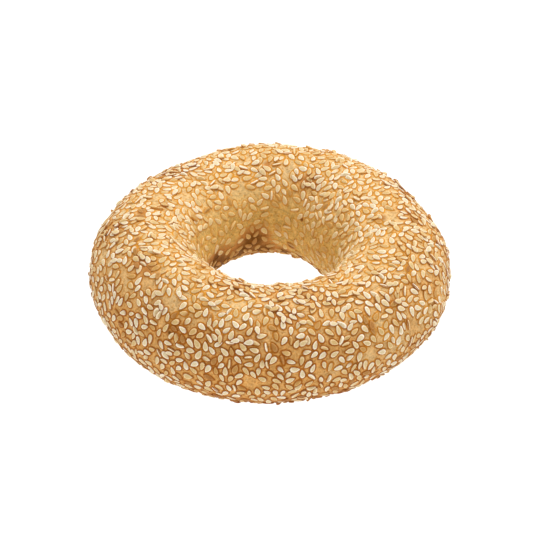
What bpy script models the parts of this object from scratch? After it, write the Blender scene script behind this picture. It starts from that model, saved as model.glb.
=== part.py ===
"""A sesame bagel: one uneven ring of baked dough with sesame seeds baked onto its crust.

The ring lies flat on its baked underside. Z is up, -Y is the front, and the origin is under the
middle of the ring at the level of the underside. A place on the crust is given by two angles:
the turn goes round the ring from +X towards +Y, and the tilt goes round the dough's section,
from the outer side over the crown into the hole.
"""

import math
import random

import bmesh
import bpy
from mathutils import Matrix, Vector, noise
from mathutils.bvhtree import BVHTree

MM = 0.001

# Driving sizes of the dough ring
RING_RADIUS = 38.42 * MM  # from the middle of the hole to the middle of the dough
HALF_WIDTH = 17.88 * MM  # of the dough's section, seen from above
CROWN_HEIGHT = 18.0 * MM  # of the crown above the widest level
BASE_DEPTH = 17.1 * MM  # of the underside below the widest level
UNDER_FULLNESS = 1.06  # depth the underside would have without the tray, in base depths
RING_CENTRE = Vector((0.08 * MM, -0.5 * MM, 0.0))  # centres the uneven ring on the origin

# The hand-rolled unevenness, as (waves round the ring, height, turn of one crest in degrees)
RADIUS_WAVES = (
    (1, 0.23 * MM, 180.0),
    (2, 0.39 * MM, -75.3),
    (3, 0.92 * MM, -27.5),
    (4, 0.51 * MM, -6.6),
)
WIDTH_WAVES = ((1, 0.23 * MM, 0.0), (2, 0.2 * MM, 15.7), (3, 0.47 * MM, 29.6))
CROWN_WAVES = ((1, 0.41 * MM, -166.0), (2, 1.59 * MM, 26.6))
LUMP_HEIGHT = 0.55 * MM
LUMP_SPACING = 14.0 * MM
LUMP_FADE = 7.0 * MM  # the lumps die away towards the flat underside over this height

# Facets of the ring
TURN_STEPS = 60
TILT_STEPS = 20

# Sesame seeds at true size
SEED_LENGTH = 3.25 * MM
SEED_WIDTH = 2.0 * MM
SEED_PROUD = 0.62 * MM  # how far a seed stands out of the crust
SEED_SINK = 0.08 * MM  # how far its widest line lies under the crust
SEED_TAPER = 0.36  # how much narrower it grows over half its length, towards the point
SEED_SIZE_RANGE = (0.88, 1.1)
SEED_LEAN = math.radians(5.0)
SEED_SEGMENTS = 6
SEED_RINGS = 3
SEED_COUNT = 296
SOWING_SEED = 7
SOWING_TRIES = 14  # places tried for each seed, of which the loneliest is kept
FLOOR_GAP = 0.25 * MM  # no seed reaches lower than this above the table


def waves(table, turn):
    """The sum of a table's waves at a turn in radians."""
    return sum(
        height * math.cos(count * (turn - math.radians(crest)))
        for count, height, crest in table
    )


def crust_point(turn, tilt):
    """The place on the dough's surface at a turn and a tilt, both in radians."""
    radius = RING_RADIUS + waves(RADIUS_WAVES, turn)
    half_width = HALF_WIDTH + waves(WIDTH_WAVES, turn)
    crown = CROWN_HEIGHT + waves(CROWN_WAVES, turn)
    out, up = math.cos(tilt), math.sin(tilt)
    reach = radius + half_width * out
    height = BASE_DEPTH + up * (crown if up > 0 else BASE_DEPTH * UNDER_FULLNESS)
    place = Vector((reach * math.cos(turn), reach * math.sin(turn), height))
    fade = min(1.0, max(0.0, height / LUMP_FADE))
    lump = LUMP_HEIGHT * fade * noise.noise(place / LUMP_SPACING)
    place += lump * Vector((out * math.cos(turn), out * math.sin(turn), up))
    place.z = max(0.0, place.z)
    return place + RING_CENTRE


def material(name, colour, roughness):
    """A matte food material."""
    made = bpy.data.materials.new(name)
    made.use_nodes = True
    shader = made.node_tree.nodes["Principled BSDF"]
    shader.inputs["Base Color"].default_value = (*colour, 1.0)
    shader.inputs["Roughness"].default_value = roughness
    shader.inputs["Metallic"].default_value = 0.0
    return made


def dough_ring(crust):
    """The bare ring: a torus whose every point is moved onto the uneven, flat-bottomed dough."""
    bpy.ops.mesh.primitive_torus_add(
        major_segments=TURN_STEPS,
        minor_segments=TILT_STEPS,
        major_radius=RING_RADIUS,
        minor_radius=HALF_WIDTH,
    )
    ring = bpy.context.object
    ring.name = ring.data.name = "bagel"
    for vertex in ring.data.vertices:
        x, y, z = vertex.co
        vertex.co = crust_point(math.atan2(y, x), math.atan2(z, math.hypot(x, y) - RING_RADIUS))
    ring.data.materials.append(crust)
    return ring


def seed_mesh(toasted):
    """One sesame seed about its own middle: +X is the pointed end, +Z is away from the crust."""
    shape = bmesh.new()
    bmesh.ops.create_uvsphere(shape, u_segments=SEED_SEGMENTS, v_segments=SEED_RINGS, radius=1.0)
    # So few facets fall short of a whole sphere, so each axis is measured against its own reach
    reach = [max(abs(vertex.co[axis]) for vertex in shape.verts) for axis in range(3)]
    for vertex in shape.verts:
        along, across, up = (value / most for value, most in zip(vertex.co, reach))
        width = SEED_WIDTH / 2 * (1 - SEED_TAPER * (along + 0.5))
        vertex.co = (along * SEED_LENGTH / 2, across * width, up * (SEED_PROUD + SEED_SINK))
    mesh = bpy.data.meshes.new("sesame_seed")
    shape.to_mesh(mesh)
    shape.free()
    mesh.materials.append(toasted)
    return mesh


def sown_places(surface, draw):
    """Evenly spread places for the seeds, as (place, direction away from the crust)."""
    places = []
    while len(places) < SEED_COUNT:
        tried = []
        while len(tried) < SOWING_TRIES:
            turn, tilt = draw.uniform(0, 2 * math.pi), draw.uniform(0, 2 * math.pi)
            # The outer side has more crust for each degree of tilt than the side in the hole
            if draw.random() > (RING_RADIUS + HALF_WIDTH * math.cos(tilt)) / (RING_RADIUS + HALF_WIDTH):
                continue
            place, away, _, _ = surface.find_nearest(crust_point(turn, tilt))
            slope = math.hypot(away.x, away.y)
            if place.z - slope * SEED_LENGTH / 2 * SEED_SIZE_RANGE[1] < FLOOR_GAP:
                continue
            nearest = min(((place - other).length for other, _ in places), default=RING_RADIUS)
            tried.append((nearest, place, away))
        _, place, away = max(tried, key=lambda found: found[0])
        places.append((place, away))
    return places


def sow(ring, toasted):
    """Seed objects lying on the ring, the largest first, in a collection of their own."""
    draw = random.Random(SOWING_SEED)
    seeds = bpy.data.collections.new("seeds")
    bpy.context.scene.collection.children.link(seeds)
    mesh = seed_mesh(toasted)
    surface = BVHTree.FromPolygons(
        [vertex.co for vertex in ring.data.vertices],
        [face.vertices for face in ring.data.polygons],
    )
    sizes = sorted((draw.uniform(*SEED_SIZE_RANGE) for _ in range(SEED_COUNT)), reverse=True)
    for (place, away), size in zip(sown_places(surface, draw), sizes):
        lie = away.to_track_quat("Z", "X").to_matrix().to_4x4()
        heading = Matrix.Rotation(draw.uniform(0, 2 * math.pi), 4, "Z")
        lean = Matrix.Rotation(draw.uniform(-SEED_LEAN, SEED_LEAN), 4, "Y")
        sunk = Matrix.Translation(place - away * SEED_SINK)
        seed = bpy.data.objects.new("seed", mesh)
        seed.matrix_world = sunk @ lie @ heading @ lean @ Matrix.Scale(size, 4)
        seeds.objects.link(seed)
    return seeds


def bake_on(ring, seeds):
    """Joins the seeds to the ring as one solid, and takes the loose seeds away."""
    union = ring.modifiers.new("baked_on", "BOOLEAN")
    union.operation = "UNION"
    union.operand_type = "COLLECTION"
    union.collection = seeds
    union.solver = "EXACT"
    union.material_mode = "TRANSFER"
    bpy.context.view_layer.objects.active = ring
    bpy.ops.object.modifier_apply(modifier=union.name)
    for seed in list(seeds.objects):
        bpy.data.objects.remove(seed)
    bpy.data.collections.remove(seeds)


def main():
    """Clears the scene and makes the bagel."""
    for old in list(bpy.data.objects):
        bpy.data.objects.remove(old)
    part = bpy.data.collections.new("sesame_bagel")
    bpy.context.scene.collection.children.link(part)
    ring = dough_ring(material("baked_crust", (0.56, 0.30, 0.115), 0.62))
    for holder in list(ring.users_collection):
        holder.objects.unlink(ring)
    part.objects.link(ring)
    seeds = sow(ring, material("sesame_seed", (0.80, 0.62, 0.38), 0.5))
    bake_on(ring, seeds)
    ring.data.shade_smooth()
    ring.data.set_sharp_from_angle(angle=math.radians(35))


main()
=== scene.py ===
"""The looks of a sesame bagel: its baked crust, every seed on it, and a plain pale studio.

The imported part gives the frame. The solid ring is replaced by the same ring at fine scale, with
the seeds pressed into it. A place on the crust is given by two angles: the turn goes round the
ring from +X towards +Y, and the tilt goes round the dough's section, from the outer side over the
crown into the hole. Lengths are in metres, Z is up and -Y is the front.
"""

import logging
import math
import random
from collections import defaultdict
from dataclasses import dataclass, field
from enum import Enum
from itertools import product
from typing import Any, Iterable

import bpy
import numpy as np
from mathutils import Matrix, Vector, noise
from mathutils.kdtree import KDTree


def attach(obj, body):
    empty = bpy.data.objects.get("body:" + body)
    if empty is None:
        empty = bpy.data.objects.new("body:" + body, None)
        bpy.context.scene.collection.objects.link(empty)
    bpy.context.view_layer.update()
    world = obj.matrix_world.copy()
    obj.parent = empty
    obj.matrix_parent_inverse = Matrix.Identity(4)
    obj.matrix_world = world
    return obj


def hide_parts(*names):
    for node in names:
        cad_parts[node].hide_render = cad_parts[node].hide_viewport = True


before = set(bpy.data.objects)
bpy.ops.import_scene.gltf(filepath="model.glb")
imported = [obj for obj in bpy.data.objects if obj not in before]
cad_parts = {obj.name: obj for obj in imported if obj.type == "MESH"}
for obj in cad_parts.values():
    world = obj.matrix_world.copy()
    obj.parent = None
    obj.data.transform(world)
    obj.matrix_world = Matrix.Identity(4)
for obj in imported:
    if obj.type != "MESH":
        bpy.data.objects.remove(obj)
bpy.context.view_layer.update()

log = logging.getLogger("bagel")

MM = 0.001
TURN = 2 * math.pi
BODY = "root"
NODE = "bagel"
BAKE_MAP = "OFBake"

Colour = tuple[float, float, float]
Wave = tuple[int, float, float]  # waves round the ring, height in mm, turn of a crest in degrees
Span = tuple[float, float]  # where a smooth step starts, and where it is complete
Stops = tuple[tuple[float, float], ...]  # tilt in degrees, and the value there
Patches = tuple[tuple[float, float, float], ...]  # turn and tilt in degrees, reach in mm


class Wire:
    """A node socket that takes part in arithmetic by adding Math nodes."""

    def __init__(self, sheet: "Sheet", socket: bpy.types.NodeSocket) -> None:
        """Keeps the socket and the sheet it belongs to."""
        self.sheet = sheet
        self.socket = socket

    def other(self, name: str) -> "Wire":
        """Another output of the same node."""
        return Wire(self.sheet, find_socket(self.socket.node.outputs, name))

    def maths(self, operation: str, *terms: Any) -> "Wire":
        """One Math node on the given terms, which are wires or numbers."""
        return self.sheet.add("ShaderNodeMath", {"operation": operation}, dict(enumerate(terms)))

    def __add__(self, term: Any) -> "Wire":
        """self + term."""
        return self.maths("ADD", self, term)

    __radd__ = __add__

    def __sub__(self, term: Any) -> "Wire":
        """self - term."""
        return self.maths("SUBTRACT", self, term)

    def __rsub__(self, term: Any) -> "Wire":
        """term - self."""
        return self.maths("SUBTRACT", term, self)

    def __mul__(self, term: Any) -> "Wire":
        """self * term."""
        return self.maths("MULTIPLY", self, term)

    __rmul__ = __mul__

    def __truediv__(self, term: Any) -> "Wire":
        """self / term."""
        return self.maths("DIVIDE", self, term)

    def __rtruediv__(self, term: Any) -> "Wire":
        """term / self."""
        return self.maths("DIVIDE", term, self)

    def __pow__(self, term: Any) -> "Wire":
        """self ** term."""
        return self.maths("POWER", self, term)

    def __rpow__(self, term: Any) -> "Wire":
        """term ** self."""
        return self.maths("POWER", term, self)

    def __abs__(self) -> "Wire":
        """The size of self without its sign."""
        return self.maths("ABSOLUTE", self)

    def sign(self) -> "Wire":
        """-1, 0 or 1."""
        return self.maths("SIGN", self)

    def at_least(self, term: Any) -> "Wire":
        """The larger of self and term."""
        return self.maths("MAXIMUM", self, term)


def find_socket(sockets: Any, key: int | str) -> bpy.types.NodeSocket:
    """Finds a node's socket.

    Args:
        sockets: The node's inputs or outputs.
        key: The socket's place, identifier or name.

    Returns:
        The socket.
    """
    if isinstance(key, str):
        for socket in sockets:
            if socket.identifier == key:
                return socket
    return sockets[key]


class Sheet:
    """Adds nodes to one node tree."""

    def __init__(self, tree: bpy.types.NodeTree) -> None:
        """Works on the given tree."""
        self.tree = tree

    def feed(self, socket: bpy.types.NodeSocket, value: Any) -> None:
        """Gives a socket what it takes in.

        Args:
            socket: An input of one of the tree's nodes.
            value: A wire to link, or a value to set.
        """
        if isinstance(value, Wire):
            self.tree.links.new(value.socket, socket)
        else:
            socket.default_value = value

    def add(
        self,
        kind: str,
        settings: dict[str, Any] | None = None,
        inputs: dict[int | str, Any] | None = None,
        output: int | str = 0,
    ) -> Wire:
        """Adds one node.

        Args:
            kind: The node's type.
            settings: The node's own settings, set before its sockets.
            inputs: The value or the wire of each socket, by place, identifier or name.
            output: The output to return.

        Returns:
            The wire of that output.
        """
        node = self.tree.nodes.new(kind)
        for name, value in (settings or {}).items():
            setattr(node, name, value)
        for key, value in (inputs or {}).items():
            self.feed(find_socket(node.inputs, key), value)
        return Wire(self, find_socket(node.outputs, output))

    def step(self, value: Wire, low: float, high: float) -> Wire:
        """A smooth step from 0 at low to 1 at high, which falls if high is the smaller."""
        inputs = {"Value": value, "From Min": low, "From Max": high}
        return self.add("ShaderNodeMapRange", {"interpolation_type": "SMOOTHSTEP"}, inputs)

    def noise(self, place: Wire, spacing: float, detail: float = 2.0, shift: Any = 0.0) -> Wire:
        """Noise from -0.5 to 0.5, whose lumps lie a spacing apart; the shift picks a pattern."""
        inputs = {"Vector": place, "W": shift, "Scale": 1 / spacing, "Detail": detail}
        return self.add("ShaderNodeTexNoise", {"noise_dimensions": "4D"}, inputs) - 0.5

    def blend(self, factor: Any, start: Any, end: Any, how: str = "MIX") -> Wire:
        """Mixes two colours, each a wire or a tuple, by a factor from 0 to 1."""
        settings = {"data_type": "RGBA", "blend_type": how}
        inputs = {"Factor_Float": factor, "A_Color": opaque(start), "B_Color": opaque(end)}
        return self.add("ShaderNodeMix", settings, inputs, "Result_Color")

    def vector(self, operation: str, inputs: dict[int | str, Any], output: str = "Vector") -> Wire:
        """One Vector Math node on the given inputs."""
        return self.add("ShaderNodeVectorMath", {"operation": operation}, inputs, output)

    def split(self, vector: Wire) -> tuple[Wire, Wire, Wire]:
        """The three parts of a vector."""
        first = self.add("ShaderNodeSeparateXYZ", None, {"Vector": vector}, "X")
        return first, first.other("Y"), first.other("Z")

    def join(self, x: Any, y: Any, z: Any) -> Wire:
        """A vector from its three parts."""
        return self.add("ShaderNodeCombineXYZ", None, {"X": x, "Y": y, "Z": z})


def opaque(colour: Any) -> Any:
    """A colour tuple with full alpha, or the wire as it is."""
    return colour if isinstance(colour, Wire) else (*colour, 1.0)


class Paint(Sheet):
    """A new material and its shader nodes."""

    def __init__(self, name: str) -> None:
        """Makes a material with a Principled shader."""
        self.material = bpy.data.materials.new(name)
        self.material.use_nodes = True
        super().__init__(self.material.node_tree)
        self.shader = self.tree.nodes["Principled BSDF"]

    def attribute(self, name: str, output: str = "Fac") -> Wire:
        """A number that is stored on the mesh, or a vector with the output named so."""
        return self.add("ShaderNodeAttribute", {"attribute_name": name}, output=output)

    def place(self) -> Wire:
        """The place on the object, in metres."""
        return self.add("ShaderNodeTexCoord", output="Object")

    def put(self, name: str, value: Any) -> None:
        """Sets or links one input of the Principled shader."""
        self.feed(self.shader.inputs[name], value)

    def bump(self, height: Wire, depth: float) -> None:
        """Makes the surface look uneven by a depth in metres for each unit of height."""
        inputs = {"Height": height, "Distance": depth, "Strength": 1.0}
        self.put("Normal", self.add("ShaderNodeBump", None, inputs, "Normal"))

    def shaded(self, colour: Wire, shade: Wire) -> Wire:
        """The colour made lighter or darker by a shade about 1."""
        return self.vector("SCALE", {0: colour, "Scale": shade})


class Recipe(Sheet):
    """A Geometry Nodes tree with named inputs, which turns a base mesh into a finished one."""

    def __init__(self, name: str) -> None:
        """Makes the tree with one geometry in and one out."""
        tree = bpy.data.node_groups.new(name, "GeometryNodeTree")
        super().__init__(tree)
        tree.interface.new_socket("Geometry", in_out="INPUT", socket_type="NodeSocketGeometry")
        tree.interface.new_socket("Geometry", in_out="OUTPUT", socket_type="NodeSocketGeometry")
        self.entry = tree.nodes.new("NodeGroupInput")
        self.exit = tree.nodes.new("NodeGroupOutput")

    def given(self, name: str, kind: str = "Float") -> Wire:
        """Adds a named input of a socket type."""
        self.tree.interface.new_socket(name, in_out="INPUT", socket_type=f"NodeSocket{kind}")
        return Wire(self, self.entry.outputs[name])

    def geometry(self) -> Wire:
        """The base mesh."""
        return Wire(self, self.entry.outputs["Geometry"])

    def stored(self, name: str, kind: str = "FLOAT_VECTOR") -> Wire:
        """A named attribute of the geometry."""
        settings = {"data_type": kind}
        return self.add("GeometryNodeInputNamedAttribute", settings, {"Name": name}, "Attribute")

    def store(
        self, geometry: Wire, name: str, value: Wire, kind: str = "FLOAT", domain: str = "POINT"
    ) -> Wire:
        """The geometry with a named attribute stored on it."""
        settings = {"data_type": kind, "domain": domain}
        inputs = {"Geometry": geometry, "Name": name, "Value": value}
        return self.add("GeometryNodeStoreNamedAttribute", settings, inputs)

    def position(self) -> Wire:
        """The place of each point."""
        return self.add("GeometryNodeInputPosition")

    def moved(self, geometry: Wire, position: Wire) -> Wire:
        """The geometry with its points at new places."""
        inputs = {"Geometry": geometry, "Position": position}
        return self.add("GeometryNodeSetPosition", None, inputs)

    def pushed(self, geometry: Wire, way: Wire, height: Wire) -> Wire:
        """The geometry with its points pushed some way by a height."""
        push = self.vector("SCALE", {0: way, "Scale": height})
        return self.add("GeometryNodeSetPosition", None, {"Geometry": geometry, "Offset": push})

    def pressed(self, geometry: Wire, level: Wire) -> Wire:
        """The geometry with what reaches below a level pressed flat onto it."""
        x, y, z = self.split(self.position())
        return self.moved(geometry, self.join(x, y, z.at_least(level)))

    def close(self, geometry: Wire, finish: Wire, smooth: Any = True) -> None:
        """Finishes the tree.

        Args:
            geometry: The geometry, whose instances become real.
            finish: The material.
            smooth: Which faces are shaded smooth.
        """
        real = self.add("GeometryNodeRealizeInstances", None, {"Geometry": geometry})
        inputs = {"Geometry": real, "Shade Smooth": smooth}
        shaded = self.add("GeometryNodeSetShadeSmooth", None, inputs)
        inputs = {"Geometry": shaded, "Material": finish}
        done = self.add("GeometryNodeSetMaterial", None, inputs)
        self.tree.links.new(done.socket, self.exit.inputs["Geometry"])

    def make(self, name: str, base: bpy.types.Mesh, values: dict[str, Any]) -> bpy.types.Object:
        """Applies the tree to a base mesh.

        Args:
            name: The name of the new piece.
            base: The mesh that goes in.
            values: The value of each named input.

        Returns:
            A mesh object at the origin, with no modifier left on it.
        """
        holder = bpy.data.objects.new(f"{name}_base", base)
        bpy.context.scene.collection.objects.link(holder)
        modifier = holder.modifiers.new(name, "NODES")
        modifier.node_group = self.tree
        for item in self.tree.interface.items_tree:
            if item.in_out == "INPUT" and item.name in values:
                modifier[item.identifier] = values[item.name]
        depsgraph = bpy.context.evaluated_depsgraph_get()
        mesh = bpy.data.meshes.new_from_object(
            holder.evaluated_get(depsgraph), preserve_all_data_layers=True, depsgraph=depsgraph
        )
        bpy.data.objects.remove(holder)
        mesh.name = name
        piece = bpy.data.objects.new(name, mesh)
        bpy.context.scene.collection.objects.link(piece)
        return piece


def keep_field(mesh: bpy.types.Mesh, name: str, values: np.ndarray, domain: str = "POINT") -> None:
    """Stores numbers, switches or vectors on a mesh.

    Args:
        mesh: The mesh.
        name: The attribute's name.
        values: One value or one row of three for each element.
        domain: The kind of element.
    """
    if values.ndim == 2:
        mesh.attributes.new(name, "FLOAT_VECTOR", domain).data.foreach_set("vector", values.ravel())
    else:
        kind = "BOOLEAN" if values.dtype == bool else "FLOAT"
        mesh.attributes.new(name, kind, domain).data.foreach_set("value", values)


def titled(source: Any, *names: str) -> dict[str, Any]:
    """Some of an object's values, under the titles that a recipe gives its inputs."""
    return {name.replace("_", " ").title(): getattr(source, name) for name in names}


def between(stops: Stops, tilt: np.ndarray) -> np.ndarray:
    """The value at each tilt in radians, from the values at the stops."""
    start = stops[0][0]
    return np.interp((np.degrees(tilt) - start) % 360.0 + start, *zip(*stops))


@dataclass
class Ground:
    """The fine ring's points, turn by turn, each with the way out of the dough."""

    turn: np.ndarray
    tilt: np.ndarray
    points: np.ndarray
    away: np.ndarray


@dataclass
class DoughRing:
    """The hand-rolled ring of dough, by the same rule as the solid."""

    radius: float = 38.42 * MM
    half_width: float = 17.88 * MM
    crown_height: float = 18.0 * MM
    base_depth: float = 17.1 * MM
    under_fullness: float = 1.06
    centre: tuple[float, float, float] = (0.08 * MM, -0.5 * MM, 0.0)
    radius_waves: tuple[Wave, ...] = ((1, 0.23, 180.0), (2, 0.39, -75.3), (3, 0.92, -27.5), (4, 0.51, -6.6))
    width_waves: tuple[Wave, ...] = ((1, 0.23, 0.0), (2, 0.2, 15.7), (3, 0.47, 29.6))
    crown_waves: tuple[Wave, ...] = ((1, 0.41, -166.0), (2, 1.59, 26.6))
    lump_height: float = 0.55 * MM
    lump_spacing: float = 14.0 * MM
    lump_fade: float = 7.0 * MM
    lift: float = 0.3 * MM  # of the dough's flat underside above the table, on its pressed seeds
    turn_steps: int = 960
    tilt_steps: int = 300

    @staticmethod
    def waves(table: Iterable[Wave], turn: np.ndarray) -> np.ndarray:
        """The sum of a table's waves, in metres."""
        return sum(high * MM * np.cos(count * (turn - math.radians(crest))) for count, high, crest in table)

    def surface(self, turn: np.ndarray, tilt: np.ndarray) -> np.ndarray:
        """Places on the dough's surface.

        Args:
            turn: Turns in radians.
            tilt: Tilts in radians.

        Returns:
            One row of x, y and z for each pair of angles.
        """
        radius = self.radius + self.waves(self.radius_waves, turn)
        half_width = self.half_width + self.waves(self.width_waves, turn)
        crown = self.crown_height + self.waves(self.crown_waves, turn)
        out, up = np.cos(tilt), np.sin(tilt)
        reach = radius + half_width * out
        rise = np.where(up > 0, crown, self.base_depth * self.under_fullness)
        height = self.base_depth + up * rise
        place = np.stack((reach * np.cos(turn), reach * np.sin(turn), height), axis=1)
        fade = np.clip(height / self.lump_fade, 0.0, 1.0)
        lumps = [noise.noise(Vector(row)) for row in place / self.lump_spacing]
        away = np.stack((out * np.cos(turn), out * np.sin(turn), up), axis=1)
        place += (self.lump_height * fade * np.array(lumps))[:, None] * away
        place[:, 2] = np.maximum(self.lift, place[:, 2])
        return place + np.array(self.centre)

    def ground(self) -> Ground:
        """The whole ring at fine scale."""
        turn = np.repeat(np.arange(self.turn_steps) * TURN / self.turn_steps, self.tilt_steps)
        tilt = np.tile(np.arange(self.tilt_steps) * TURN / self.tilt_steps, self.turn_steps)
        points = self.surface(turn, tilt)
        grid = points.reshape(self.turn_steps, self.tilt_steps, 3)
        ahead = np.roll(grid, -1, axis=0) - np.roll(grid, 1, axis=0)
        over = np.roll(grid, -1, axis=1) - np.roll(grid, 1, axis=1)
        away = np.cross(ahead, over).reshape(-1, 3)
        away /= np.linalg.norm(away, axis=1)[:, None]
        return Ground(turn, tilt, points, away)


class Pose(Enum):
    """How a seed lies on the crust."""

    FLAT = "flat"
    EDGE = "edge"
    LEANING = "leaning"


class Kind(Enum):
    """How far a seed is toasted."""

    IVORY = "ivory"
    CREAM = "cream"
    GOLDEN = "golden"
    TOASTED = "toasted"


@dataclass(frozen=True)
class Habit:
    """The room that a seed takes up in a pose, and how it lies there."""

    circles: tuple[tuple[float, float], ...]  # place along the seed and radius, in mm
    lift: tuple[float, float]  # of its middle above the crust, in mm
    roll: tuple[float, float]  # degrees to either side
    pitch: tuple[float, float]  # degrees to either end
    outline: float  # how far its darkened edge reaches, partly browning and partly painted shade, from 0 at the widest line to 1 on top


HABITS = {
    Pose.FLAT: Habit(((-0.75, 0.8), (0.15, 0.8), (1.0, 0.42)), (-0.04, 0.13), (0, 11), (0, 8), 0.58),
    Pose.EDGE: Habit(((-0.8, 0.54), (0.1, 0.54), (1.0, 0.38)), (0.05, 0.25), (30, 66), (0, 9), 0.25),
    Pose.LEANING: Habit(((-0.75, 0.8), (0.15, 0.8), (1.0, 0.42)), (0.36, 0.5), (0, 12), (9, 15), 0.7),
}


@dataclass
class Seed:
    """One seed that has found its place."""

    foot: Vector
    away: Vector
    place: Vector
    basis: Matrix
    size: tuple[float, float, float]
    kind: Kind
    tone: float
    toast: float
    bake: float
    hole: float
    outline: float


@dataclass
class OvenMarks:
    """Where the crust is browner, yellower, scorched or bare of seeds, some of it painted shade and bounce
    light.
    """

    bare: Patches = (
        (190, 34, 3.2), (207, 49, 2.6), (219, 56, 2.8), (232, 54, 2.8), (264, -4, 2.8), (287, 2, 2.4),
        (303, 7, 3.1), (327, 0, 2.0), (257, 74, 1.7), (323, 10, 3.2), (280, 30, 2.0), (317, 70, 2.4),
        (329, 82, 2.2), (345, 128, 2.4), (4, 92, 2.8), (80, 112, 2.8), (159, 88, 2.6), (148, 110, 2.6),
        (140, 124, 2.4), (109, 135, 3.2), (99, 140, 2.4), (84, 164, 3.0), (76, 158, 2.6), (65, 180, 3.0),
        (47, 174, 3.0), (124, 176, 2.8), (20, 14, 2.6), (97, 30, 3.0), (138, 8, 2.6), (55, 52, 2.4),
        (213, 70, 1.7),
    )
    sparse: Patches = (
        (132, 158, 8.0), (150, 172, 9.0), (168, 190, 8.0), (124, 186, 7.0), (80, 204, 6.0),
        (60, 198, 7.0), (42, 190, 7.0), (24, 188, 6.0),
    )
    toasted: Patches = (
        (209, 66, 2.6), (214, 68, 3.2), (188, 74, 2.0), (174, 84, 2.0), (164, 100, 2.0), (110, 18, 2.4),
        (35, 35, 2.2), (91, 106, 1.6), (3, 100, 2.0), (66, 120, 3.0),
    )
    scorched_and_shaded: Patches = (
        (236, 28, 0.9), (10, 60, 1.5), (27, 48, 1.6), (7, 32, 1.4), (61, 160, 0.8), (72, 200, 1.6),
        # from here on, wide patches of painted shade at the foot of the hole's back wall
        (104, 196, 6.5), (112, 208, 8.0), (96, 216, 6.5), (130, 212, 7.5), (143, 204, 7.5),
        (149, 190, 3.6), (160, 202, 7.0), (80, 219, 4.0), (64, 220, 3.5), (48, 219, 3.5), (32, 218, 3.5),
    )
    browned: Patches = (
        (66, 124, 8.0), (296, 76, 5.0), (211, 66, 6.0), (180, 60, 7.0), (240, 24, 7.0), (5, 70, 7.0),
        (130, 70, 9.0), (30, 50, 9.0), (252, 98, 9.0), (272, 98, 9.0), (290, 92, 8.0), (276, 68, 6.0),
        (262, -2, 6.0),
    )
    paled: Patches = (
        (314, 2, 9.0), (328, 14, 9.0), (340, 6, 9.0), (290, 2, 5.0), (308, 26, 7.0), (190, 34, 5.0),
        (257, 73, 4.5), (303, 6, 4.5),
    )

    # The sides darken downwards and towards the front: partly browning, partly painted shade.
    side_bake_and_shade: Stops = ((-90, 1.0), (-60, 0.95), (0, 0.8), (30, 0.7), (60, 0.3), (100, 0), (270, 0))
    darkest_turn: float = 262.0
    back_share: float = 0.45  # of the sides' darkening, at the palest turn
    front_share: float = 0.55  # more of it, at the darkest turn
    front_bake_and_shade: float = 0.12
    browning: float = 0.7
    paling: float = 0.6
    # Darker near the tray: partly the underside's browning, partly painted shade along the bottom edge.
    tray_toast_and_shade: Stops = ((0, 0), (225, 0), (248, 0.7), (312, 0.7), (336, 0), (360, 0))
    toast_share: float = 0.5
    soft_rim: float = 0.3  # how deep a toasted or scorched patch starts at its rim
    wall: Stops = ((0, 0), (118, 0), (160, 1), (235, 1), (262, 0), (360, 0))

    @staticmethod
    def nearness(ring: DoughRing, patches: Patches, points: np.ndarray) -> np.ndarray:
        """How deep each point lies in the nearest patch.

        Args:
            ring: The ring that the patches lie on.
            patches: The patches.
            points: Places on the crust.

        Returns:
            1 at a patch's middle, 0 at its rim and below 0 outside.
        """
        turn, tilt, reach = np.array(patches).T
        deepest = np.full(len(points), -math.inf)
        for middle, radius in zip(ring.surface(np.radians(turn), np.radians(tilt)), reach * MM):
            deepest = np.maximum(deepest, 1 - np.linalg.norm(points - middle, axis=1) / radius)
        return deepest

    def bake(self, ring: DoughRing, turn: np.ndarray, tilt: np.ndarray, points: np.ndarray) -> np.ndarray:
        """How brown the crust is, counting painted shade low on the sides and on the front.

        Args:
            ring: The ring.
            turn: Turns in radians.
            tilt: Tilts in radians.
            points: The places at those turns and tilts.

        Returns:
            0 on the crown to 1 low on the front, more in browned patches and less in paled ones.
        """
        front = 0.5 + 0.5 * np.cos(turn - math.radians(self.darkest_turn))
        sides = between(self.side_bake_and_shade, tilt) * (self.back_share + self.front_share * front)
        browned = np.clip(self.nearness(ring, self.browned, points), 0.0, 1.0)
        paled = np.clip(self.nearness(ring, self.paled, points), 0.0, 1.0)
        patches = self.browning * browned - self.paling * paled
        return np.clip(sides + self.front_bake_and_shade * front + patches, 0.0, 1.0)

    def toast(self, ring: DoughRing, tilt: np.ndarray, points: np.ndarray) -> np.ndarray:
        """How scorched the crust is, counting painted shade at the foot of the hole's wall and the bottom
        edge.

        Args:
            ring: The ring.
            tilt: Tilts in radians.
            points: Places on the crust at those tilts.

        Returns:
            0 on most of the crust, 1 in the scorched and the shaded patches, and some in the toasted
            patches and near the tray.
        """
        toasted = np.clip(self.nearness(ring, self.toasted, points) + self.soft_rim, 0.0, 1.0)
        least = np.maximum(between(self.tray_toast_and_shade, tilt), self.toast_share * toasted)
        return np.clip(self.nearness(ring, self.scorched_and_shaded, points) + self.soft_rim, least, 1.0)

    def hole(self, tilt: np.ndarray) -> np.ndarray:
        """How far inside the hole a place is, from 0 on the crown to 1 on the wall."""
        return between(self.wall, tilt)


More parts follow.
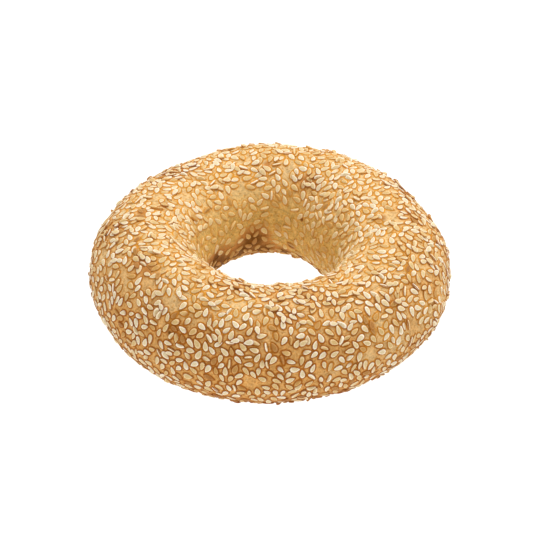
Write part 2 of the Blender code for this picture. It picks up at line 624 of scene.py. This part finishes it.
@dataclass
class Sower:
    """Strews seeds over the crust so that they hardly overlap, then leans a few on others."""

    ring: DoughRing
    marks: OvenMarks
    length: float = 3.2 * MM
    width: float = 1.68 * MM
    thickness: float = 0.9 * MM
    edge_share: float = 0.08
    tries: int = 150_000
    leaning: int = 145
    leaning_apart: float = 0.9 * MM  # gap that leaning seeds keep to each other
    leaning_rise: float = 0.6  # least height of the crust's outward direction under them
    leaning_wall: float = 0.5  # how far inside the hole they reach
    bed_distance: float = 1.5 * MM  # least distance from a leaning seed's middle to its bed's
    aim_spread: float = 25.0  # degrees to either side of the bed
    sunk: float = 0.25 * MM  # how much deeper seeds are pressed in on the underside
    sparse_room: float = 0.7 * MM  # extra gap in the middle of a sparse patch
    room: Stops = (
        (0, 0.15), (40, 0.15), (70, -0.06), (120, -0.03), (160, 0.2), (240, 0.36), (305, 0.12), (360, 0.15)
    )  # mm between seeds
    drift: float = 0.28  # mm of room, more or less
    drift_spacing: float = 9.0 * MM
    size_spread: float = 0.07
    size_limits: tuple[float, float] = (0.82, 1.12)
    width_limits: tuple[float, float] = (0.86, 1.08)
    thickness_limits: tuple[float, float] = (0.88, 1.08)
    # Seeds come out deeper and more toasted on scorched and brown crust, whose marks include painted shade.
    tone_chance: float = 0.6
    tone_scorch_and_shade: float = 0.4
    kind_pull: tuple[float, ...] = (0.75, 0.12, 0.16)  # of each oven mark towards toasted
    kind_limits: tuple[tuple[Kind, float], ...] = (
        (Kind.TOASTED, 0.0), (Kind.GOLDEN, 0.26), (Kind.CREAM, 0.58), (Kind.IVORY, math.inf)
    )
    cell: float = 4.1 * MM
    random_seed: int = 31
    seeds: list[Seed] = field(default_factory=list)
    spots: dict[tuple[int, ...], list[tuple[float, ...]]] = field(
        default_factory=lambda: defaultdict(list)
    )

    def __post_init__(self) -> None:
        """Starts the random draws."""
        self.draw = random.Random(self.random_seed)

    def either_side(self, limits: tuple[float, float]) -> float:
        """Draws an angle in radians between two limits in degrees, to one side or the other."""
        return math.radians(self.draw.choice((-1, 1)) * self.draw.uniform(*limits))

    def is_clear(self, place: Vector, circles: Iterable[tuple[float, ...]], gap: float) -> bool:
        """Whether circles keep a gap to every seed sown so far.

        Args:
            place: The middle of the seed that asks.
            circles: The middle and radius of each circle that covers its ground.
            gap: The distance to keep, below 0 where seeds may overlap.

        Returns:
            True where there is room.
        """
        home = [math.floor(value / self.cell) for value in place]
        for cell in product(*((step - 1, step, step + 1) for step in home)):
            for ax, ay, az, ar in self.spots.get(cell, ()):
                for bx, by, bz, br in circles:
                    apart = ar + br + gap
                    if (ax - bx) ** 2 + (ay - by) ** 2 + (az - bz) ** 2 < apart * apart:
                        return False
        return True

    def elbow_room(self, tilt: np.ndarray, points: np.ndarray) -> np.ndarray:
        """The gap that seeds keep: least on the crown, most in the hole, and uneven all over."""
        drift = np.array([noise.noise(Vector(row)) for row in points / self.drift_spacing])
        return (between(self.room, tilt) + self.drift * drift) * MM

    def heading(self, foot: Vector, away: Vector, bed: Vector | None) -> tuple[Vector, float]:
        """Draws which way a seed points.

        Args:
            foot: The place on the crust.
            away: The direction away from the crust.
            bed: The middle of the seed that it leans on, if there is one.

        Returns:
            The direction of its pointed end, and 1 or -1 for the end that is tipped down.
        """
        tipped = self.draw.choice((-1, 1))
        if bed is None:
            side = away.orthogonal().normalized()
            angle = self.draw.uniform(0, TURN)
            return side * math.cos(angle) + away.cross(side) * math.sin(angle), tipped
        towards = bed - foot
        towards = (towards - away * towards.dot(away)).normalized()
        towards.rotate(Matrix.Rotation(self.either_side((0, self.aim_spread)), 3, away))
        return -towards * tipped, tipped

    def settle(
        self,
        foot: Vector,
        away: Vector,
        pose: Pose,
        gap: float,
        marks: list[float],
        bed: Vector | None = None,
    ) -> bool:
        """Tries one seed, and keeps it if there is room.

        Args:
            foot: The place on the crust.
            away: The direction away from the crust.
            pose: How the seed lies.
            gap: The distance to keep to its neighbours.
            marks: How scorched and how brown the crust is there, both counting painted shade, and how far
                inside the hole.
            bed: The middle of the seed that it leans on, if there is one.

        Returns:
            True if the seed is kept.
        """
        habit = HABITS[pose]
        ahead, tipped = self.heading(foot, away, bed)
        low, high = self.size_limits
        size = min(high, max(low, self.draw.gauss(1.0, self.size_spread)))
        circles = [
            (*(foot + ahead * (along * size * MM)), radius * size * MM)
            for along, radius in habit.circles
        ]
        if not self.is_clear(foot, circles, gap):
            return False
        self.spots[tuple(math.floor(value / self.cell) for value in foot)].extend(circles)
        roll = Matrix.Rotation(self.either_side(habit.roll), 3, "X")
        pitch = Matrix.Rotation(math.radians(tipped * self.draw.uniform(*habit.pitch)), 3, "Y")
        scorched_and_shaded, bake, hole = marks
        under = max(0.0, -5.0 * away.z - 4.0)  # 0 on the sides, 1 on the flat underside
        lift = self.draw.uniform(*habit.lift) * MM - self.sunk * under
        width = size * self.draw.uniform(*self.width_limits)
        thickness = size * self.draw.uniform(*self.thickness_limits)
        seed = Seed(
            foot=foot,
            away=away,
            place=foot + away * lift,
            basis=Matrix((ahead, away.cross(ahead), away)).transposed() @ pitch @ roll,
            size=(size, width, thickness),
            kind=self.toasting(marks),
            tone=self.tone_chance * self.draw.random() + self.tone_scorch_and_shade * scorched_and_shaded,
            toast=scorched_and_shaded,
            bake=bake,
            hole=hole,
            outline=habit.outline,
        )
        self.seeds.append(seed)
        return True

    def toasting(self, marks: list[float]) -> Kind:
        """Draws how far a seed is toasted, from the oven marks of the crust under it."""
        chance = self.draw.random() - sum(pull * mark for pull, mark in zip(self.kind_pull, marks))
        return next(kind for kind, limit in self.kind_limits if chance < limit)

    def sow(self, ground: Ground) -> list[Seed]:
        """Strews the seeds over the fine ring.

        Args:
            ground: The fine ring, whose points are the places that are tried.

        Returns:
            Every seed.
        """
        share = self.ring.radius + self.ring.half_width * np.cos(ground.tilt)
        rng = np.random.default_rng(self.random_seed)
        picks = rng.choice(len(share), self.tries, p=share / share.sum())
        points, turn, tilt = ground.points[picks], ground.turn[picks], ground.tilt[picks]
        sparse = np.clip(self.marks.nearness(self.ring, self.marks.sparse, points), 0, 1)
        room = self.elbow_room(tilt, points) + self.sparse_room * sparse
        bare = self.marks.nearness(self.ring, self.marks.bare, points) > 0
        scorched_and_shaded = self.marks.toast(self.ring, tilt, points)
        bake = self.marks.bake(self.ring, turn, tilt, points)
        marks = np.stack((scorched_and_shaded, bake, self.marks.hole(tilt)), axis=1)
        tried = list(zip(map(Vector, points), map(Vector, ground.away[picks]), room, marks.tolist()))
        open_ground = [spot for spot, is_bare in zip(tried, bare) if not is_bare]
        for foot, away, gap, mark in open_ground:
            pose = Pose.EDGE if self.draw.random() < self.edge_share else Pose.FLAT
            self.settle(foot, away, pose, gap, mark)
        self.spots.clear()
        beds = KDTree(len(self.seeds))
        for number, seed in enumerate(self.seeds):
            beds.insert(seed.foot, number)
        beds.balance()
        left = self.leaning
        for foot, away, _, mark in open_ground:
            bed, _, apart = beds.find(foot)
            on_crown = away.z > self.leaning_rise and mark[2] < self.leaning_wall
            if left and on_crown and apart > self.bed_distance:
                left -= self.settle(foot, away, Pose.LEANING, self.leaning_apart, mark, bed)
        return self.seeds


@dataclass(frozen=True)
class CrustFinish:
    """Baked dough: pale on the crown, tan on the sides, amber and caramel round the seeds, partly painted
    shade.
    """

    pale: Colour = (0.712, 0.475, 0.217)
    tan: Colour = (0.655, 0.335, 0.098)
    amber: Colour = (0.61, 0.265, 0.033)
    caramel: Colour = (0.36, 0.11, 0.01)
    russet: Colour = (0.47, 0.19, 0.045)
    scorch_and_shade: Colour = (0.19, 0.072, 0.009)
    ochre: Colour = (0.68, 0.435, 0.115)
    fleck: Colour = (0.86, 0.60, 0.29)
    cloud_size: float = 8.0 * MM
    cloud_swing: float = 1.4  # a swing is how far noise moves a value, from low to high
    blotch_size: float = 1.8 * MM
    blotch_shade: float = 0.7
    grain_size: float = 0.6 * MM
    grain_shade: float = 1.3
    dark_fleck_size: float = 0.9 * MM
    dark_fleck_noise: Span = (0.04, 0.18)
    dark_fleck_share: float = 0.55
    pale_fleck_size: float = 0.8 * MM
    pale_fleck_noise: Span = (0.08, 0.2)
    pale_fleck_share: float = 0.3
    ochre_share: float = 0.85
    rim_gap: Span = (0.06, 0.72)  # nearness to a seed, from 0 to 1 against it
    rim_swing: float = 0.5
    rim_loss: float = 0.5  # in the hole
    toast_swing: float = 0.8
    russet_toast: Span = (0.05, 0.5)
    russet_share: float = 0.9
    scorch_toast: Span = (0.45, 1.0)
    relief: float = 0.16 * MM
    specular: float = 0.04
    roughness: float = 0.66
    roughness_swing: float = 0.2

    def material(self) -> bpy.types.Material:
        """The crust's material."""
        paint = Paint("baked_crust")
        place = paint.place()
        bake, toast = paint.attribute("bake"), paint.attribute("toast")
        gap, hole = paint.attribute("gap"), paint.attribute("hole")
        clouds = paint.noise(place, self.cloud_size, 3.0)
        grain = paint.noise(place, self.grain_size, 3.0, 4.0)
        dark_flecks = paint.noise(place, self.dark_fleck_size, 1.0, 9.0)
        dark_flecks = self.dark_fleck_share * paint.step(dark_flecks, *self.dark_fleck_noise)
        pale_flecks = paint.noise(place, self.pale_fleck_size, 1.0, 14.0)
        pale_flecks = self.pale_fleck_share * paint.step(pale_flecks, *self.pale_fleck_noise)
        # The bake map's tan is partly browning and partly painted shade low on the sides.
        browned = paint.step(bake + self.cloud_swing * clouds, 0.0, 1.0)
        blotches = paint.noise(place, self.blotch_size, 2.0, 21.0)
        colour = paint.blend(browned, self.pale, self.tan)
        # Ochre in the hole: partly the paler bake inside it, partly painted warm bounce light.
        colour = paint.blend(self.ochre_share * hole, colour, self.ochre)
        colour = paint.blend(pale_flecks, colour, self.fleck)
        rim = paint.blend(browned, self.amber, self.caramel)
        colour = paint.blend(dark_flecks, colour, rim)
        # Darker dough against each seed: partly browning, partly painted shade where seed and dough meet.
        beside = paint.step(gap + self.rim_swing * grain, *self.rim_gap)
        colour = paint.blend(beside * (1.0 - self.rim_loss * hole), colour, rim)
        # Russet and scorch follow the toast map, which holds painted shade at the hole's foot and the
        # bottom edge as well as scorching.
        patchy = toast + self.toast_swing * grain
        toasted = self.russet_share * paint.step(patchy, *self.russet_toast)
        colour = paint.blend(toasted, colour, self.russet)
        colour = paint.blend(paint.step(patchy, *self.scorch_toast), colour, self.scorch_and_shade)
        shade = 1.0 + self.grain_shade * grain + self.blotch_shade * blotches
        paint.put("Base Color", paint.shaded(colour, shade))
        paint.put("Roughness", self.roughness + self.roughness_swing * grain)
        paint.put("Specular IOR Level", self.specular)
        paint.bump(grain, self.relief)
        return paint.material


@dataclass(frozen=True)
class SeedFinish:
    """A sesame seed's skin: a pale margin, a duller heart and a dark foot, part toasting and part painted
    shade.
    """

    name: str
    light: Colour
    deep: Colour
    heart: Colour = (0.78, 0.72, 0.58)
    # Colours of the seed's darkened foot and edge, partly toasting and partly painted shade.
    pale_foot: Colour = (0.66, 0.305, 0.047)
    foot: Colour = (0.38, 0.12, 0.016)
    ochre: Colour = (0.76, 0.54, 0.19)
    mottle_size: float = 0.7 * MM
    tone_swing: float = 0.4
    grain_size: float = 0.3 * MM
    grain_shade: float = 0.6
    heart_reach: Span = (0.56, 0.2)  # square of the distance from the seed's middle
    heart_side: Span = (0.1, 0.4)  # height on the seed, from -1 below to 1 on top
    swing: float = 0.3  # of the heart's and the tip's rims
    ochre_share: float = 0.5
    tip: Span = (0.75, 1.0)  # place along the seed
    tip_share: float = 0.4
    foot_height: Span = (0.32 * MM, 0.06 * MM)  # above the dough
    foot_swing: float = 0.1 * MM
    foot_share: float = 0.95
    outline_depth: float = 0.42
    outline_swing: float = 0.2
    outline_under: Span = (-0.75, -0.4)  # where it fades in on the underside
    outline_share: float = 0.85
    foot_loss: float = 0.45  # in the hole
    toast_share: float = 0.9
    toast_start: float = 0.5
    brown_bake: Span = (0.0, 0.6)
    relief: float = 0.05 * MM
    specular: float = 0.08
    roughness: float = 0.58
    roughness_swing: float = 0.16

    def material(self) -> bpy.types.Material:
        """The seed's material."""
        paint = Paint(self.name)
        place = paint.place()
        along, across, up = paint.split(paint.attribute("spot", "Vector"))
        mottle = paint.noise(place, self.mottle_size, 2.0)
        grain = paint.noise(place, self.grain_size, 2.0, 3.0)
        tone = paint.attribute("tone")
        deepened = paint.step(tone + self.tone_swing * mottle, 0.0, 1.0)
        colour = paint.blend(deepened, self.light, self.deep)
        rimward = along * along + across * across + self.swing * mottle
        heart = paint.step(rimward, *self.heart_reach) * paint.step(up, *self.heart_side)
        colour = paint.blend(heart, colour, self.heart, "MULTIPLY")
        tip = self.tip_share * paint.step(along + self.swing * mottle, *self.tip)
        hole, toast = paint.attribute("hole"), paint.attribute("toast")
        # Ochre in the hole: partly the seeds' own tint there, partly painted warm bounce light.
        colour = paint.blend(self.ochre_share * hole, colour, self.ochre)
        # The seed darkens by the dough and along its lower edge, partly toasting and partly painted shade,
        # and at its tip.
        height = paint.attribute("height") + self.foot_swing * mottle
        foot = self.foot_share * paint.step(height, *self.foot_height)
        inside = up + self.outline_swing * mottle - paint.attribute("outline")
        outline = paint.step(inside, 0.0, -self.outline_depth)
        outline = self.outline_share * (outline * paint.step(up, *self.outline_under))
        foot = foot.at_least(outline).at_least(tip) * (1.0 - self.foot_loss * hole)
        # Where the toast map is high, on scorched crust and in the painted shade at the hole's foot, the
        # whole seed darkens.
        foot = foot.at_least(self.toast_share * (toast - self.toast_start))
        brown = paint.step(paint.attribute("bake").at_least(toast), *self.brown_bake)
        colour = paint.blend(foot, colour, paint.blend(brown, self.pale_foot, self.foot))
        paint.put("Base Color", paint.shaded(colour, 1.0 + self.grain_shade * grain))
        paint.put("Roughness", self.roughness + self.roughness_swing * mottle)
        paint.put("Specular IOR Level", self.specular)
        paint.bump(grain, self.relief)
        return paint.material


SEED_FINISHES = {
    Kind.IVORY: SeedFinish("sesame_ivory", (0.98, 0.88, 0.69), (0.95, 0.81, 0.57)),
    Kind.CREAM: SeedFinish("sesame_cream", (0.94, 0.79, 0.54), (0.88, 0.69, 0.40)),
    Kind.GOLDEN: SeedFinish("sesame_golden", (0.87, 0.66, 0.36), (0.78, 0.50, 0.21)),
    Kind.TOASTED: SeedFinish("sesame_toasted", (0.74, 0.44, 0.16), (0.36, 0.11, 0.02)),
}


@dataclass
class SeedCoat:
    """The seeds as meshes, one piece for each kind."""

    sower: Sower
    taper: float = 0.4
    dish: float = 0.2
    flatness: float = 0.62
    segments: int = 10
    rings: int = 6
    unevenness: float = 0.07 * MM
    dent_size: float = 1.3 * MM
    tray_level: float = 0.02 * MM

    def recipe(self) -> Recipe:
        """The Geometry Nodes tree that puts a seed on each point."""
        work = Recipe("seed_coat")
        length, width, thick = (work.given(name) for name in ("Length", "Width", "Thickness"))
        taper, dish, flatness = (work.given(name) for name in ("Taper", "Dish", "Flatness"))
        segments, rings = work.given("Segments", "Int"), work.given("Rings", "Int")
        unevenness, level = work.given("Unevenness"), work.given("Tray Level")
        pattern, cell = work.given("Random Seed"), work.given("Map Cell")
        finish = work.given("Finish", "Material")
        shape = work.add("GeometryNodeMeshUVSphere", None, {"Segments": segments, "Rings": rings})
        along, across, up = work.split(work.position())
        shape = work.store(shape, "spot", work.position(), "FLOAT_VECTOR")
        settings = {"data_type": "FLOAT", "domain": "FACE"}
        face_up = work.add("GeometryNodeFieldOnDomain", settings, {"Value": up}).sign()
        corner = work.join(0.5 + 0.46 * along, 0.5 + 0.23 * across + 0.25 * face_up, 0.0)
        shape = work.store(shape, "corner", corner, "FLOAT_VECTOR", "CORNER")
        narrowing = (1.0 - along).at_least(0.0) ** taper
        inner = (1.0 - along * along - across * across).at_least(0.0)
        high = up.sign() * abs(up) ** flatness * (1.0 - dish * inner * inner)
        spread = work.join(along * length / 2, across * narrowing * width / 2, high * thick / 2)
        inputs = {
            "Points": work.geometry(),
            "Instance": work.moved(shape, spread),
            "Rotation": work.add("FunctionNodeEulerToRotation", None, {"Euler": work.stored("turned")}),
            "Scale": work.stored("size"),
        }
        placed = work.add("GeometryNodeInstanceOnPoints", None, inputs)
        real = work.add("GeometryNodeRealizeInstances", None, {"Geometry": placed})
        wrinkle = work.noise(work.position(), self.dent_size, 2.0, pattern)
        normal = work.add("GeometryNodeInputNormal")
        real = work.pressed(work.pushed(real, normal, unevenness * 2 * wrinkle), level)
        reach = work.vector("SUBTRACT", {0: work.position(), 1: work.stored("foot")})
        height = work.vector("DOT_PRODUCT", {0: reach, 1: work.stored("away")}, "Value")
        real = work.store(real, "height", height)
        scaled = {0: work.stored("corner"), 1: work.join(cell, cell, 0.0), 2: work.stored("cell")}
        real = work.store(real, BAKE_MAP, work.vector("MULTIPLY_ADD", scaled), "FLOAT2", "CORNER")
        work.close(real, finish)
        return work

    @staticmethod
    def points(name: str, seeds: list[Seed]) -> tuple[bpy.types.Mesh, float]:
        """A mesh of bare points that carry each seed's facts.

        Args:
            name: The mesh's name.
            seeds: The seeds of one kind.

        Returns:
            The mesh, and the width of a map cell.
        """
        mesh = bpy.data.meshes.new(name)
        mesh.from_pydata([seed.place for seed in seeds], [], [])
        cells = math.ceil(math.sqrt(len(seeds)))
        fields = {
            "turned": [tuple(seed.basis.to_euler()) for seed in seeds],
            "cell": [(i % cells / cells, i // cells / cells, 0.0) for i in range(len(seeds))],
        }
        for title in ("size", "foot", "away", "tone", "toast", "bake", "hole", "outline"):
            fields[title] = [getattr(seed, title) for seed in seeds]
        for title, rows in fields.items():
            keep_field(mesh, title, np.array(rows))
        return mesh, 1 / cells

    def build(self, ground: Ground) -> list[bpy.types.Object]:
        """Makes the seed pieces.

        Args:
            ground: The fine ring that they lie on.

        Returns:
            One piece for each kind.
        """
        seeds = self.sower.sow(ground)
        work = self.recipe()
        pieces = []
        for number, kind in enumerate(Kind):
            own = [seed for seed in seeds if seed.kind is kind]
            points, cell = self.points(f"{kind.value}_points", own)
            values = {
                **titled(self.sower, "length", "width", "thickness"),
                **titled(self, "taper", "dish", "flatness", "segments", "rings", "unevenness"),
                "Tray Level": self.tray_level,
                "Random Seed": float(number),
                "Map Cell": cell,
                "Finish": SEED_FINISHES[kind].material(),
            }
            piece = work.make(f"seeds_{kind.value}", points, values)
            log.info("%s: %d seeds, %d faces", piece.name, len(own), len(piece.data.polygons))
            pieces.append(piece)
        return pieces


class Band(Enum):
    """A third of the dough's section, by the step of tilt where it starts."""

    OUTER = -42
    INNER = 58
    BASE = 158


@dataclass
class Crust:
    """The dough's skin, risen against the seeds, with pits and wrinkles between them."""

    ring: DoughRing
    marks: OvenMarks
    finish: CrustFinish = CrustFinish()
    meniscus_height: float = 0.14 * MM
    meniscus_width: float = 0.38 * MM
    wrinkle_depth: float = 0.22 * MM
    wrinkle_size: float = 4.5 * MM
    pit_depth: float = 0.1 * MM
    pit_spacing: float = 1.9 * MM
    pit_noise: Span = (0.16, 0.3)
    random_seed: float = 2.0
    table_clearance: float = 0.02 * MM
    map_lanes: int = 3
    map_margin: float = 0.004
    skin_share: float = 0.95  # of a map lane's height, the rest being for the closing faces

    def base(self, ground: Ground, band: Band) -> bpy.types.Mesh:
        """One band of the ring, closed inside the dough, with its oven marks stored on it.

        Args:
            ground: The whole fine ring.
            band: The band to take from it.

        Returns:
            The mesh of the band.
        """
        turns, rows = self.ring.turn_steps, self.ring.tilt_steps // len(Band)
        taken = (np.arange(rows + 1) + band.value) % self.ring.tilt_steps
        picks = (np.arange(turns)[:, None] * self.ring.tilt_steps + taken).ravel()
        along, up = np.divmod(np.arange(len(picks)), rows + 1)
        next_along, next_up = (along + 1) % turns, (up + 1) % (rows + 1)
        steps = ((along, up), (next_along, up), (next_along, next_up), (along, next_up))
        corners = np.stack([a * (rows + 1) + b for a, b in steps], axis=1)
        mesh = bpy.data.meshes.new(f"{band.name.lower()}_band")
        mesh.from_pydata(ground.points[picks].tolist(), [], corners.tolist())
        turn, tilt, points = ground.turn[picks], ground.tilt[picks], ground.points[picks]
        keep_field(mesh, "away", ground.away[picks])
        keep_field(mesh, "bake", self.marks.bake(self.ring, turn, tilt, points))
        keep_field(mesh, "toast", self.marks.toast(self.ring, tilt, points))
        keep_field(mesh, "hole", self.marks.hole(tilt))
        keep_field(mesh, "skin", up < rows, "FACE")
        self.spread(mesh, along, up / rows)
        return mesh

    def spread(self, mesh: bpy.types.Mesh, along: np.ndarray, up: np.ndarray) -> None:
        """Gives a band a map for baking, in lanes above each other.

        Args:
            mesh: The band.
            along: The step of turn of each face.
            up: The share of the band's rows below each face, 1 for a closing face.
        """
        columns = self.ring.turn_steps // self.map_lanes
        row = len(Band) / self.ring.tilt_steps
        lane, column = np.divmod(along, columns)
        low = np.where(up < 1, up * self.skin_share, self.skin_share + 2 * self.map_margin)
        high = np.where(up < 1, (up + row) * self.skin_share, 1 - 2 * self.map_margin)
        u = np.stack((column, column + 1, column + 1, column), axis=1) / columns
        v = (lane[:, None] + self.map_margin + np.stack((low, low, high, high), axis=1)) / self.map_lanes
        u = self.map_margin + (1 - 2 * self.map_margin) * u
        mesh.uv_layers.new(name=BAKE_MAP).data.foreach_set("uv", np.stack((u, v), axis=2).ravel())

    def recipe(self) -> Recipe:
        """The Geometry Nodes tree that raises the dough round the seeds and roughens it."""
        work = Recipe("crust_relief")
        seeds = work.given("Seeds", "Collection")
        rise, reach = work.given("Meniscus Height"), work.given("Meniscus Width")
        wrinkle, pit = work.given("Wrinkle Depth"), work.given("Pit Depth")
        pattern, level = work.given("Random Seed"), work.given("Tray Level")
        finish = work.given("Finish", "Material")
        strewn = work.add("GeometryNodeCollectionInfo", None, {"Collection": seeds})
        strewn = work.add("GeometryNodeRealizeInstances", None, {"Geometry": strewn})
        settings = {"target_element": "FACES"}
        apart = work.add("GeometryNodeProximity", settings, {0: strewn}, "Distance") / reach
        near = math.e ** (0.0 - apart * apart)
        place = work.position()
        folds = work.noise(place, self.wrinkle_size, 2.0, pattern)
        pits = work.noise(place, self.pit_spacing, 1.0, pattern + 5.0)
        pits = work.step(pits, *self.pit_noise)
        height = rise * near + wrinkle * folds - pit * pits * (1.0 - near)
        # The nearness to a seed, which the crust's colour uses for its rim of browning and painted shade.
        shape = work.store(work.geometry(), "gap", near)
        shape = work.pressed(work.pushed(shape, work.stored("away"), height), level)
        work.close(shape, finish, work.stored("skin", "BOOLEAN"))
        return work

    def build(self, ground: Ground, seeds: bpy.types.Collection) -> list[bpy.types.Object]:
        """Makes the crust.

        Args:
            ground: The fine ring.
            seeds: The collection of the finished seed pieces.

        Returns:
            One piece for each band.
        """
        values = {
            **titled(self, "meniscus_height", "meniscus_width", "wrinkle_depth", "pit_depth"),
            "Seeds": seeds,
            "Random Seed": self.random_seed,
            "Tray Level": self.ring.lift - self.table_clearance,
            "Finish": self.finish.material(),
        }
        work = self.recipe()
        pieces = []
        for band in Band:
            piece = work.make(f"crust_{band.name.lower()}", self.base(ground, band), values)
            log.info("%s: %d faces", piece.name, len(piece.data.polygons))
            pieces.append(piece)
        return pieces


@dataclass
class Studio:
    """A pale floor, soft light from above and a long lens at the photograph's angle."""

    elevation: float = math.radians(36)
    half_view: float = math.radians(5)
    sensor: float = 36.0
    distance: float = 0.9776
    aim: tuple[float, float, float] = (0.25 * MM, 0.0, 16.6 * MM)
    floor_size: float = 8.0
    floor_colour: Colour = (0.1, 0.1, 0.1)
    floor_glow: float = 1.1
    sky: float = 0.745
    lamp_size: float = 0.6
    lamp_place: tuple[float, float, float] = (0.2, 0.4, 0.9)
    lamp_power: float = 6.7

    def camera(self) -> None:
        """Makes the camera."""
        lens = bpy.data.cameras.new("camera")
        lens.sensor_width = self.sensor
        lens.lens = self.sensor / 2 / math.tan(self.half_view)
        lens.clip_start = 0.05
        camera = bpy.data.objects.new("camera", lens)
        back = Vector((0.0, -math.cos(self.elevation), math.sin(self.elevation)))
        camera.location = Vector(self.aim) + back * self.distance
        camera.rotation_euler = back.to_track_quat("Z", "Y").to_euler()
        bpy.context.scene.collection.objects.link(camera)
        bpy.context.scene.camera = camera

    def lights(self) -> None:
        """Makes the sky and the lamp."""
        scene = bpy.context.scene
        world = bpy.data.worlds.new("studio")
        world.use_nodes = True
        shader = world.node_tree.nodes["Background"]
        shader.inputs["Color"].default_value = (1.0, 1.0, 1.0, 1.0)
        shader.inputs["Strength"].default_value = self.sky
        scene.world = world
        lamp = bpy.data.lights.new("softbox", "AREA")
        lamp.size = self.lamp_size
        lamp.energy = self.lamp_power
        holder = bpy.data.objects.new("softbox", lamp)
        holder.location = self.lamp_place
        holder.rotation_euler = Vector(self.lamp_place).to_track_quat("Z", "Y").to_euler()
        scene.collection.objects.link(holder)
        scene.view_settings.view_transform = "Standard"

    def floor(self) -> None:
        """Makes the floor."""
        bpy.ops.mesh.primitive_plane_add(size=self.floor_size)
        floor = bpy.context.object
        floor.name = "floor"
        paint = Paint("pale_floor")
        paint.put("Base Color", opaque(self.floor_colour))
        paint.put("Roughness", 0.9)
        paint.put("Emission Color", (1.0, 1.0, 1.0, 1.0))
        paint.put("Emission Strength", self.floor_glow)
        floor.data.materials.append(paint.material)

    def build(self) -> None:
        """Makes the whole studio."""
        self.camera()
        self.lights()
        self.floor()


def main() -> None:
    """Builds the bagel and the studio, hides the solid bagel and hangs each piece under its body."""
    logging.basicConfig(level=logging.INFO, format="%(name)s: %(message)s")
    ring = DoughRing()
    marks = OvenMarks()
    ground = ring.ground()
    seeds = SeedCoat(Sower(ring, marks)).build(ground)
    strewn = bpy.data.collections.new("seeds")
    bpy.context.scene.collection.children.link(strewn)
    for piece in seeds:
        bpy.context.scene.collection.objects.unlink(piece)
        strewn.objects.link(piece)
    skins = Crust(ring, marks).build(ground, strewn)
    for piece in skins:
        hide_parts(NODE)
    for piece in (*skins, *seeds):
        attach(piece, BODY)
    Studio().build()


if __name__ == "__main__":
    main()
